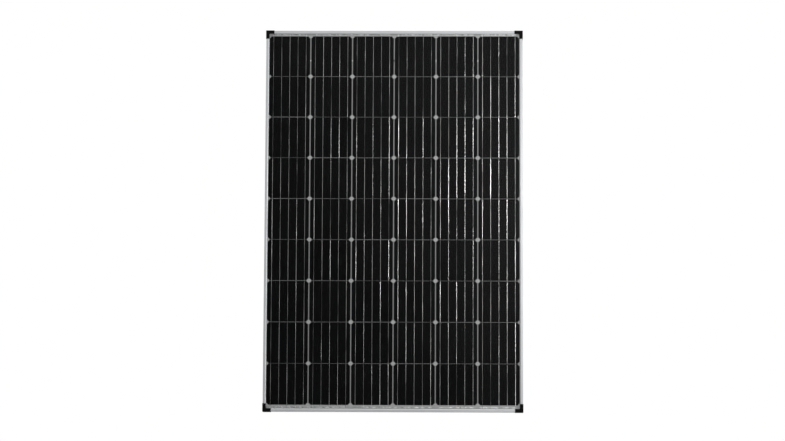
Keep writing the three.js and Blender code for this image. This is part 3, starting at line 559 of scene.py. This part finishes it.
def turned(name, profile, origin, axis, looks, sides, loop=True, shape=None, bands=None):
    """A turned piece. Profile points are (radius, distance along axis) from the origin.

    loop joins the last point to the first; without it the profile starts and ends on the axis.
    shape(angle, radius, distance) changes the radius, and bands(radius, distance) picks a look."""
    axis = Vector(axis)
    side = Vector((1, 0, 0)) if abs(axis.x) < 0.5 else Vector((0, 1, 0))
    over = axis.cross(side)
    vertices = []
    for radius, distance in profile:
        for j in range(sides):
            angle = 2 * math.pi * j / sides
            reach = shape(angle, radius, distance) if shape else radius
            spoke = math.cos(angle) * side + math.sin(angle) * over
            vertices.append(Vector(origin) + axis * distance + reach * spoke)
    faces = skin_faces(len(profile), sides, loop=loop)
    face_looks = None
    if bands:
        ends = profile[1:] + profile[:1]
        spans = list(zip(profile, ends))[: len(faces) // sides]
        mids = [((a[0] + b[0]) / 2, (a[1] + b[1]) / 2) for a, b in spans]
        face_looks = [bands(*mid) for mid in mids for _ in range(sides)]
    return piece(name, vertices, faces, looks, face_looks)


def on(body, made, slot, *nodes):
    """Rides the piece on a body, in place of the named CAD nodes."""
    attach(made, body)
    if nodes:
        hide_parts(*nodes)
    return made


# ---- laminate ----
def column_x(column):
    return (column - (COLUMNS - 1) / 2) * COLUMN_PITCH


def row_z(row):
    return ARRAY_Z + (row - (ROWS - 1) / 2) * ROW_PITCH


def slip(column, row):
    """How far a cell was set above or below its place when its string was soldered."""
    column_turn, row_turn, scatter = 12.9898, 78.233, 43758.5453
    chance = math.sin(column_turn * (column + 1) + row_turn * (row + 1)) * scatter
    return CELL_SLIP * (2 * (chance - math.floor(chance)) - 1)


def wafer_outline():
    """Square with its corners cut by the round edge of the ingot."""
    half = CELL / 2
    ingot = math.hypot(half, half - CELL_CHAMFER)
    start = math.asin((half - CELL_CHAMFER) / ingot)
    steps = 6
    points = []
    for quarter in range(4):
        for i in range(steps + 1):
            angle = start + (math.pi / 2 - 2 * start) * i / steps + quarter * math.pi / 2
            points.append((ingot * math.cos(angle), ingot * math.sin(angle)))
    return points


def ribbon_section():
    """Flat strip with a slight crown, as (across, proud) points from its base."""
    half, crown = RIBBON_WIDTH / 2, 0.1
    points = [(-half, 0.0)]
    steps = 8
    for i in range(steps + 1):
        across = 2 * i / steps - 1
        points.append((half * across, RIBBON_THICK * (0.9 + crown * (1 - across**2))))
    points.append((half, 0.0))
    return points


def ribbon_paths(row):
    """Depth and height along a ribbon: the front of one cell, then the back of the cell below."""
    front = WAFER_FRONT - SKIN
    back = WAFER_FRONT + WAFER_THICK + SKIN + RIBBON_THICK
    steps = 14
    if row < 0:
        top = row_z(ROWS - 1) + CELL / 2
        return [(back, UPPER_BUS_Z), (back, top), (back, top - CELL + RIBBON_INSET)]
    low, high = row_z(row) - CELL / 2, row_z(row) + CELL / 2 - RIBBON_INSET
    path = [(front, high + (low - high) * i / steps) for i in range(steps + 1)]
    if row == 0:
        return path + [(front, LOWER_BUS_Z)]
    return path + [(back, low - ROW_GAP), (back, low - ROW_GAP - CELL + RIBBON_INSET)]


def string_piece(column):
    """Nine cells, and five ribbons per cell that pass from each front to the back of the cell below."""
    x0 = column_x(column)
    vertices, faces, looks = [], [], []
    outline = wafer_outline()
    for row in range(ROWS):
        first = len(vertices)
        for y in (WAFER_FRONT, WAFER_FRONT + WAFER_THICK):
            vertices += [(x0 + px, y, row_z(row) + slip(column, row) + pz) for px, pz in outline]
        made = skin_faces(2, len(outline), first) + end_caps(2, len(outline), first)
        faces += made
        looks += [0] * len(made)
    section = ribbon_section()
    for row in range(-1, ROWS):
        path = ribbon_paths(row)
        for lane in range(RIBBONS):
            x = x0 + (lane - (RIBBONS - 1) / 2) * RIBBON_PITCH
            first = len(vertices)
            for y, z in path:
                vertices += [(x + across, y - proud, z) for across, proud in section]
            made = skin_faces(len(path), len(section), first) + end_caps(len(path), len(section), first)
            faces += made
            looks += [1] * len(made)
    made = piece(f"cells_{column + 1}", vertices, faces, ["silicon", "ribbon"], looks, sharp=50)
    on("panel", made, "silicon_cell", f"cell_string_{column + 1}")


for column in range(COLUMNS):
    string_piece(column)

# ---- CAD nodes that stay, with their finish ----
FINISHES = {
    "front_glass": "glass",
    "front_encapsulant": "front_film",
    "rear_encapsulant": "rear_film",
    "backsheet": "backsheet",
    "frame_sealant": "silicone",
    "junction_box_pad": "silicone",
    "junction_box_gasket": "rubber",
    "frame_rail_left": "rail_upright",
    "frame_rail_right": "rail_upright",
    "frame_rail": "rail_level",
    "corner_key": "key",
    "corner_guard": "guard",
    "upper_bus": "bus",
    "lower_bus": "bus",
    "terminal": "copper",
    "positive_gland_seal": "rubber",
    "negative_gland_seal": "rubber",
}
EDGE_WIDTHS = {
    "frame_rail": 0.3 * MM,
    "corner_guard": 0.5 * MM,
    "junction_box_base": 0.6 * MM,
    "junction_box_lid": 0.6 * MM,
    "terminal": 0.25 * MM,
    "corner_key": 0.4 * MM,
    "front_glass": 0.4 * MM,
}


def looked_up(table, name, default):
    return next((value for key, value in table.items() if name.startswith(key)), default)


for name, node in NODES.items():
    node.data.materials.clear()
    node.data.materials.append(LOOKS[looked_up(FINISHES, name, "housing")])
    width = looked_up(EDGE_WIDTHS, name, None)
    if width:
        soften(node, width)

# The clear sheets cast no shadow, and diffuse rays pass them as if they weren't there.
for name in ("front_glass", "front_encapsulant"):
    NODES[name].visible_shadow = False
    NODES[name].visible_diffuse = False


# ---- rear beads of sealant ----
def rectangle_path(centre, half_x, half_z, corner, spacing):
    """Points round a rectangle with round corners, each with its outward direction."""
    path = []
    signs = ((1, 1), (-1, 1), (-1, -1), (1, -1))
    arc_steps = 6
    for quarter, (sx, sz) in enumerate(signs):
        middle_x, middle_z = centre.x + sx * (half_x - corner), centre.z + sz * (half_z - corner)
        for i in range(arc_steps + 1):
            angle = (quarter + i / arc_steps) * math.pi / 2
            out = (math.cos(angle), math.sin(angle))
            path.append(((middle_x + corner * out[0], middle_z + corner * out[1]), out))
        run = 2 * ((half_x if quarter % 2 == 0 else half_z) - corner)
        count = int(run / spacing)
        start, out = path[-1]
        heading = (-out[1], out[0])
        for i in range(1, count):
            reach = run * i / count
            path.append(((start[0] + heading[0] * reach, start[1] + heading[1] * reach), out))
    return path


def bead(name, path, depth, section):
    """A run of sealant: section points are (outward, rearward) and swell and shrink along the path."""
    waves = ((0.10, 0.9, 0), (0.07, 2.3, 1), (0.05, 0.31, 0))
    vertices = []
    for i, ((x, z), (out_x, out_z)) in enumerate(path):
        swell = 1
        for size, rate, phase in waves:
            swell += size * math.sin(i * rate + phase)
        for outward, rearward in section:
            reach = outward * swell
            vertices.append((x + out_x * reach, depth + rearward * swell, z + out_z * reach))
    faces = skin_faces(len(path), len(section), loop=True)
    on("panel", piece(name, vertices, faces, ["silicone"], sharp=50), "silicone_sealant")


def frame_bead():
    """Sealant squeezed out behind the backsheet, along the inner edge of the frame's shelf."""
    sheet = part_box("backsheet")[1]
    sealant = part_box("frame_sealant")[1]
    shelf_inset = SHELF_REACH - SEALANT_START
    half_x = sealant.x - shelf_inset
    centre = middle("frame_sealant")
    half_z = sealant.z - centre.z - shelf_inset
    path = rectangle_path(centre, half_x, half_z, corner=3 * MM, spacing=13 * MM)
    section = millimetres([(0.4, -0.1), (-2.6, -0.1), (-1.9, 0.75), (-0.9, 1.35), (0.0, 1.6), (0.4, 1.5)])
    bead("rear_sealant_bead", path, sheet.y, section)


def pad_bead():
    """Adhesive squeezed out from under the junction box."""
    low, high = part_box("junction_box_pad")
    half = (high - low) / 2
    overlap = 0.04 * MM
    path = rectangle_path((low + high) / 2, half.x, half.z, corner=10 * MM, spacing=7 * MM)
    section = millimetres([(-0.6, 0.0), (1.9, 0.0), (2.5, 0.5), (2.2, 1.1), (1.2, 1.5), (-0.6, 1.0)])
    bead("pad_squeeze_out", path, low.y - overlap, section)


frame_bead()
pad_bead()


# ---- junction box ----
def capsule(centre, length, radius, height):
    """A low round-ended rib lying along X on a face that looks along +Y, as vertices and faces.

    Each ring is (share of the radius it is inset, share of the height it rises). The first is sunk."""
    rings = ((0.0, -0.3), (0.0, 0.45), (0.18, 0.75), (0.45, 0.95), (0.8, 1.0))
    vertices = []
    for inset, rise in rings:
        reach = radius * (1 - inset)
        for j in range(RIB_SIDES):
            angle = 2 * math.pi * (j + 0.5) / RIB_SIDES
            shift = math.copysign(length / 2 - radius, math.cos(angle))
            x = centre.x + shift + reach * math.cos(angle)
            vertices.append((x, centre.y + height * rise, centre.z + reach * math.sin(angle)))
    return vertices, skin_faces(len(rings), RIB_SIDES) + end_caps(len(rings), RIB_SIDES)


def gathered(name, bodies, look):
    """One piece from several bodies of vertices and faces."""
    vertices, faces = [], []
    for body_vertices, body_faces in bodies:
        first = len(vertices)
        vertices += body_vertices
        faces += [tuple(first + i for i in face) for face in body_faces]
    return piece(name, vertices, faces, [look])


def lid_ribs():
    """Moulded ribs that stiffen the lid, in two groups."""
    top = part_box("junction_box_lid")[1].y
    centre = middle("junction_box_gasket")
    pitch, count = 6 * MM, 6
    group_shift, length, radius, height = 24 * MM, 36 * MM, 1.1 * MM, 0.7 * MM
    bodies = []
    for group in (-1, 1):
        for i in range(count):
            z = centre.z + (i - (count - 1) / 2) * pitch
            place = Vector((centre.x + group * group_shift, top, z))
            bodies.append(capsule(place, length, radius, height))
    on("lid", gathered("lid_ribs", bodies, "housing"), "box_plastic")


def hinge_pin():
    """Steel pin with a low head at each end."""
    low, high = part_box("lid_hinge_pin")
    centre = (low + high) / 2
    length = high.x - low.x
    head, radius, rim = 1.0 * MM, 1.5 * MM, 2.5 * MM
    profile = [(0, 0), (rim, 0), (rim, head), (radius, head), (radius, length - head), (rim, length - head)]
    profile += [(rim, length), (0, length)]
    profile = rounded(profile, 0.35 * MM, closed=False)
    origin = (low.x, centre.y, centre.z)
    made = turned("hinge_pin", profile, origin, (1, 0, 0), ["steel"], 32, loop=False)
    on("panel", made, "pin_steel", "lid_hinge_pin")


def diode(index):
    """Axial diode: a moulded body with a pale cathode band, on two wire leads."""
    low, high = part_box(f"bypass_diode_{index}")
    centre = (low + high) / 2
    length, wire, radius, half_body = high.x - low.x, 0.6 * MM, 3.4 * MM, 4.5 * MM
    start, end = length / 2 - half_body, length / 2 + half_body
    band = (end - 2.6 * MM, end - 1.4 * MM)
    near_wire = 1.4 * wire
    profile = [(0, 0), (wire, 0), (wire, start), (radius, start), (radius, band[0]), (radius, band[1])]
    profile += [(radius, end), (wire, end), (wire, length), (0, length)]
    profile = rounded(profile, 0.3 * MM, steps=3, closed=False)

    def bands(around, along):
        if around < near_wire:
            return 1
        return 2 if band[0] < along < band[1] else 0

    looks = ["epoxy", "steel", "band"]
    origin = (low.x, centre.y, centre.z)
    made = turned(f"diode_{index}", profile, origin, (1, 0, 0), looks, 40, loop=False, bands=bands)
    on("panel", made, "diode_epoxy", f"bypass_diode_{index}")


lid_ribs()
hinge_pin()
for index in (1, 2, 3):
    diode(index)


# ---- leads ----
def lead_axis(side):
    swing = Vector(JOINTS[f"{side}_lead_swing"]["pos_m"])
    return Vector((swing.x, swing.y, 0))


def straight(axis, heights):
    return [axis + Vector((0, 0, z)) for z in heights]


def evenly(start, end, steps):
    return [start + (end - start) * i / steps for i in range(steps + 1)]


def inner_cable(side, axis, start_top):
    """The bare conductor in the box, and the cable that runs from it through the gland."""
    root_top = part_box(f"{side}_lead_root")[1].z
    strip = root_top - CONDUCTOR_BARE
    core = tube(f"{side}_conductor", straight(axis, (root_top, strip)), CONDUCTOR_RADIUS, "strands")
    on("panel", core, "tinned_copper")
    inner = tube(f"{side}_cable_inner", straight(axis, (strip, start_top)), CABLE_RADIUS, "jacket")
    on("panel", inner, "cable_jacket")


def swaying(axis, heights, top, bottom):
    """A path that is straight above top and sways gently below it, and is back on the axis at bottom."""
    path = []
    for z in heights:
        t = max(0.0, (top - z) / (top - bottom))
        shift = CABLE_SWAY * math.sin(2 * math.pi * t) * math.sin(math.pi * t) ** 2
        path.append(axis + Vector((shift, 0, z)))
    return path


def lead_pieces(side):
    """The cable from the box to its connector, in two stretches that meet between the two hinges; the lower
    one is straight down to the lift hinge and sways gently below it.
    """
    swing = Vector(JOINTS[f"{side}_lead_swing"]["pos_m"])
    lift = Vector(JOINTS[f"{side}_lead_lift"]["pos_m"])
    axis = lead_axis(side)
    start_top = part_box(f"{side}_gland_nut")[0].z + START_IN_NUT
    inner_cable(side, axis, start_top)
    handover = (swing.z + lift.z) / 2
    heights = evenly(start_top, handover, BEND_STEPS)
    start = tube(f"{side}_cable_start", straight(axis, heights), CABLE_RADIUS, "jacket")
    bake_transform(start)
    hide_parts(f"{side}_lead_root", f"{side}_lead_bend")
    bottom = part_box(f"{side}_lead_cable")[0].z
    bend_end = lift.z - FLEX
    heights = evenly(handover, bend_end, BEND_STEPS) + evenly(bend_end, bottom, CABLE_STEPS)[1:]
    run = tube(f"{side}_cable_run", swaying(axis, heights, lift.z, bottom), CABLE_RADIUS, "jacket")
    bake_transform(run)
    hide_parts(f"{side}_lead_cable")


def grip(low, high, rim, depth):
    """Grooves cut into what reaches past the radius rim, between two distances along the axis."""
    crest_power = 0.6

    def shape(angle, radius, distance):
        if radius < rim or not low <= distance <= high:
            return radius
        return radius - depth * (1 - abs(math.cos(GRIP_RIBS / 2 * angle)) ** crest_power)

    return shape


def hanging(side):
    """Where a connector starts, and the direction in which its profile runs."""
    return lead_axis(side) + Vector((0, 0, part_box(f"{side}_connector_nut")[1].z)), (0, 0, -1)


def gland_nut(side):
    low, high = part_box(f"{side}_gland_nut")
    length = (high.z - low.z) / MM
    outer, bore, mouth, seat = 9, 7.5, 3.6, 3.6
    profile = [(mouth, 0), (outer - 2, 0), (outer - 0.4, 2.2), (outer, 3.2), (outer, length - 2)]
    profile += [(outer, length), (bore, length), (bore, seat), (mouth, seat)]
    profile = millimetres(rounded(profile, 0.5))
    shape = grip(3.0 * MM, (length - 1.6) * MM, (outer - 0.1) * MM, 0.75 * MM)
    origin = lead_axis(side) + Vector((0, 0, low.z))
    made = turned(f"{side}_ribbed_nut", profile, origin, (0, 0, 1), ["housing"], NUT_SIDES, shape=shape)
    on("panel", made, "box_plastic", f"{side}_gland_nut")


def connector_nut(side):
    mouth, length, outer, bore, seat = 3.4, 20, 8, 7.4, 9
    profile = [(mouth, 0), (outer - 1.8, 0), (outer - 0.4, 2.4), (outer, 3.4), (outer, 16), (outer, length)]
    profile += [(bore, length), (bore, seat), (mouth, seat)]
    profile = millimetres(rounded(profile, 0.5))
    shape = grip(3.2 * MM, 16.2 * MM, (outer - 0.1) * MM, 0.5 * MM)
    origin, down = hanging(side)
    made = turned(f"{side}_cable_nut", profile, origin, down, ["housing"], NUT_SIDES, shape=shape)
    on(f"{side}_lead", made, "box_plastic", f"{side}_connector_nut")


def connector_body(side, front, cavity, windows):
    """The shell below the nut. front is (outer radius, inner radius, end), in millimetres, as cavity is."""
    outer, inner, end = front
    shoulder, shoulder_end, collar, thread = 20.4, 26, 8.6, 7.1
    top, cable_bore, cable_end, contact_bore = 9.4, 3.4, 20, 2.6
    window_top, window_end, window_depth = 30.5 * MM, 42.5 * MM, 1.0 * MM
    profile = [(cable_bore, top), (thread, top), (thread, shoulder), (collar, shoulder)]
    profile += [(collar, shoulder_end), (outer, shoulder_end + 1)]
    profile += [(outer, distance) for distance in (30, 31, 42, 43, end)]
    profile += [(inner, end), (inner, cavity), (contact_bore, cavity)]
    profile += [(contact_bore, cable_end), (cable_bore, cable_end)]
    profile = millimetres(rounded(profile, 0.45))
    flat = 7.9 * MM

    def shape(angle, radius, distance):
        if radius > 1.05 * outer * MM and distance > shoulder * MM:
            return min(radius, flat / max(abs(math.sin(angle)), 0.1))
        on_wall = radius > 0.95 * outer * MM and window_top < distance < window_end
        if windows and on_wall and abs(math.cos(angle)) > 0.95:
            return radius - window_depth
        return radius

    origin, down = hanging(side)
    made = turned(f"{side}_shell", profile, origin, down, ["housing"], 96, shape=shape)
    on(f"{side}_lead", made, "box_plastic", f"{side}_connector_body")


def latch_arms(side):
    """Two sprung arms beside the plug's nose, each with a barb near its tip."""
    origin, _ = hanging(side)
    outline = [(5.0, 23.5), (7.7, 23.5), (7.7, 35), (8.3, 37.5), (8.3, 39)]
    outline += [(6.9, 44), (6.2, 44), (6.2, 27), (5.0, 26)]
    outline = millimetres(rounded(outline, 0.6))
    half, edge, middle_across = 2 * MM, 0.3 * MM, 6.9 * MM
    bodies = []
    for hand in (-1, 1):
        vertices = []
        for inset, y in ((edge, -half), (0, -half + edge), (0, half - edge), (edge, half)):
            for across, drop in outline:
                x = hand * (across - inset * math.copysign(1, across - middle_across))
                vertices.append((origin.x + x, origin.y + y, origin.z - drop))
        bodies.append((vertices, skin_faces(4, len(outline)) + end_caps(4, len(outline))))
    made = gathered(f"{side}_latch_arms", bodies, "housing")
    on(f"{side}_lead", made, "box_plastic")


def contact(side):
    """The metal pin inside a connector, with a bevelled tip."""
    radius, start, tip, end = 2.2, 20.4, 1.4, 45
    profile = [(0, start), (radius, start), (radius, end - tip), (radius - tip, end), (0, end)]
    profile = millimetres(rounded(profile, 0.5, closed=False))
    origin, down = hanging(side)
    made = turned(f"{side}_pin", profile, origin, down, ["copper"], 40, loop=False)
    on(f"{side}_lead", made, "tinned_copper", f"{side}_contact")


for side in ("positive", "negative"):
    lead_pieces(side)
    gland_nut(side)
    connector_nut(side)
    contact(side)
connector_body("positive", (7.4, 5.6, 50), 34, True)
connector_body("negative", (5.2, 3.5, 48), 30, False)
latch_arms("negative")

# ---- stage ----
CAMERA_AZIMUTH, CAMERA_ELEVATION, CAMERA_ROLL = map(math.radians, (1.026, -7.0, 0.255))
CAMERA_DISTANCE = 9.959
CAMERA_LENS = 119.34
SENSOR_WIDTH = 36.0
AIM = Vector((-4.1 * MM, STRING_LOW.y, ARRAY_Z - 5.2 * MM))
TARGET = Vector((0, 0, ARRAY_Z))
FLOOR_HALF = 60.0


def direction(azimuth, elevation):
    """Unit vector towards the viewer's side: azimuth 0 is in front of the glass."""
    flat = math.cos(elevation)
    return Vector((math.sin(azimuth) * flat, -math.cos(azimuth) * flat, math.sin(elevation)))


def add_camera():
    back = direction(CAMERA_AZIMUTH, CAMERA_ELEVATION)
    data = bpy.data.cameras.new("camera")
    data.lens = CAMERA_LENS
    data.sensor_width = SENSOR_WIDTH
    data.clip_end = 200.0
    camera = bpy.data.objects.new("camera", data)
    bpy.context.scene.collection.objects.link(camera)
    camera.rotation_mode = "QUATERNION"
    camera.location = AIM + back * CAMERA_DISTANCE
    roll = Quaternion((0, 0, 1), CAMERA_ROLL)
    camera.rotation_quaternion = (-back).to_track_quat("-Z", "Y") @ roll
    bpy.context.scene.camera = camera


def floor_look():
    """Pale and evenly bright from above, whatever lights it, and clear from below."""
    look = Look("pale_floor")
    tone = look.noise(look.place(), 3.0, 2.0)
    glow = look.node("ShaderNodeEmission", {"Color": look.mixed(tone, grey(0.88), grey(0.91))})
    below = look.node("ShaderNodeNewGeometry").outputs["Backfacing"]
    return look.finish(look.shaders(below, glow, look.node("ShaderNodeBsdfTransparent")))


def add_floor():
    """Pale floor at the object's foot. It shows to the camera only."""
    half = FLOOR_HALF
    corners = [(-half, -half, 0), (half, -half, 0), (half, half, 0), (-half, half, 0)]
    mesh = bpy.data.meshes.new("floor")
    mesh.from_pydata(corners, [], [(0, 1, 2, 3)])
    mesh.materials.append(floor_look())
    floor = bpy.data.objects.new("floor", mesh)
    bpy.context.scene.collection.objects.link(floor)
    for rays in ("diffuse", "glossy", "transmission", "shadow", "volume_scatter"):
        setattr(floor, f"visible_{rays}", False)


def add_light(name, azimuth, elevation, distance, width, height, power):
    """An area light that faces TARGET. Angles are in degrees, lengths in metres and power in watts."""
    back = direction(math.radians(azimuth), math.radians(elevation))
    data = bpy.data.lights.new(name, "AREA")
    data.shape = "RECTANGLE"
    data.size, data.size_y = width, height
    data.energy = power
    light = bpy.data.objects.new(name, data)
    bpy.context.scene.collection.objects.link(light)
    light.location = TARGET + back * distance
    light.rotation_mode = "QUATERNION"
    light.rotation_quaternion = (-back).to_track_quat("-Z", "Y")
    light.visible_camera = False


def add_world():
    """White to the camera. Reflections see a dark room, brighter at the sides, above and below.

    Every other ray sees a dim even glow that is brighter towards the floor."""
    look = Look("studio", world=True)
    bpy.context.scene.world = look.material
    x, _, z = look.axes(look.node("ShaderNodeTexCoord").outputs["Generated"])
    path = look.node("ShaderNodeLightPath").outputs
    below = look.spread(z, 0.05, -0.35, 0.0, 1.0)
    ambient = look.total(look.math("MULTIPLY", below, 0.35), 0.19)
    glows = (
        look.spread(x, 0.45, 0.85, 0.0, 1.8),
        look.spread(x, -0.45, -0.90, 0.0, 0.35),
        look.spread(z, 0.35, 0.80, 0.0, 0.5),
        look.spread(z, -0.12, -0.50, 0.0, 0.7),
        look.spread(look.total(look.math("MULTIPLY", x, 1.6), z), 0.05, 0.30, 0.0, 0.34),
    )
    reflected = look.total(0.02, *glows)
    level = look.node("ShaderNodeMix", {0: path["Is Glossy Ray"], 2: ambient, 3: reflected}).outputs[0]
    level = look.node("ShaderNodeMix", {0: path["Is Camera Ray"], 2: level, 3: 1.0}).outputs[0]
    look.finish(look.node("ShaderNodeBackground", {"Color": grey(1), "Strength": level}))


add_camera()
add_floor()
add_world()
add_light("key", -38, 42, 4.2, 2.6, 2.0, 52)
add_light("right", 23.0, 8, 2.24, 0.44, 0.72, 21)
add_light("rim", 76, -6, 3.0, 1.2, 1.6, 36)
add_light("top", 15, 68, 3.6, 2.4, 1.2, 30)
add_light("back_left", 205, 30, 4.0, 2.4, 1.8, 110)
bpy.context.scene.view_settings.view_transform = "Standard"
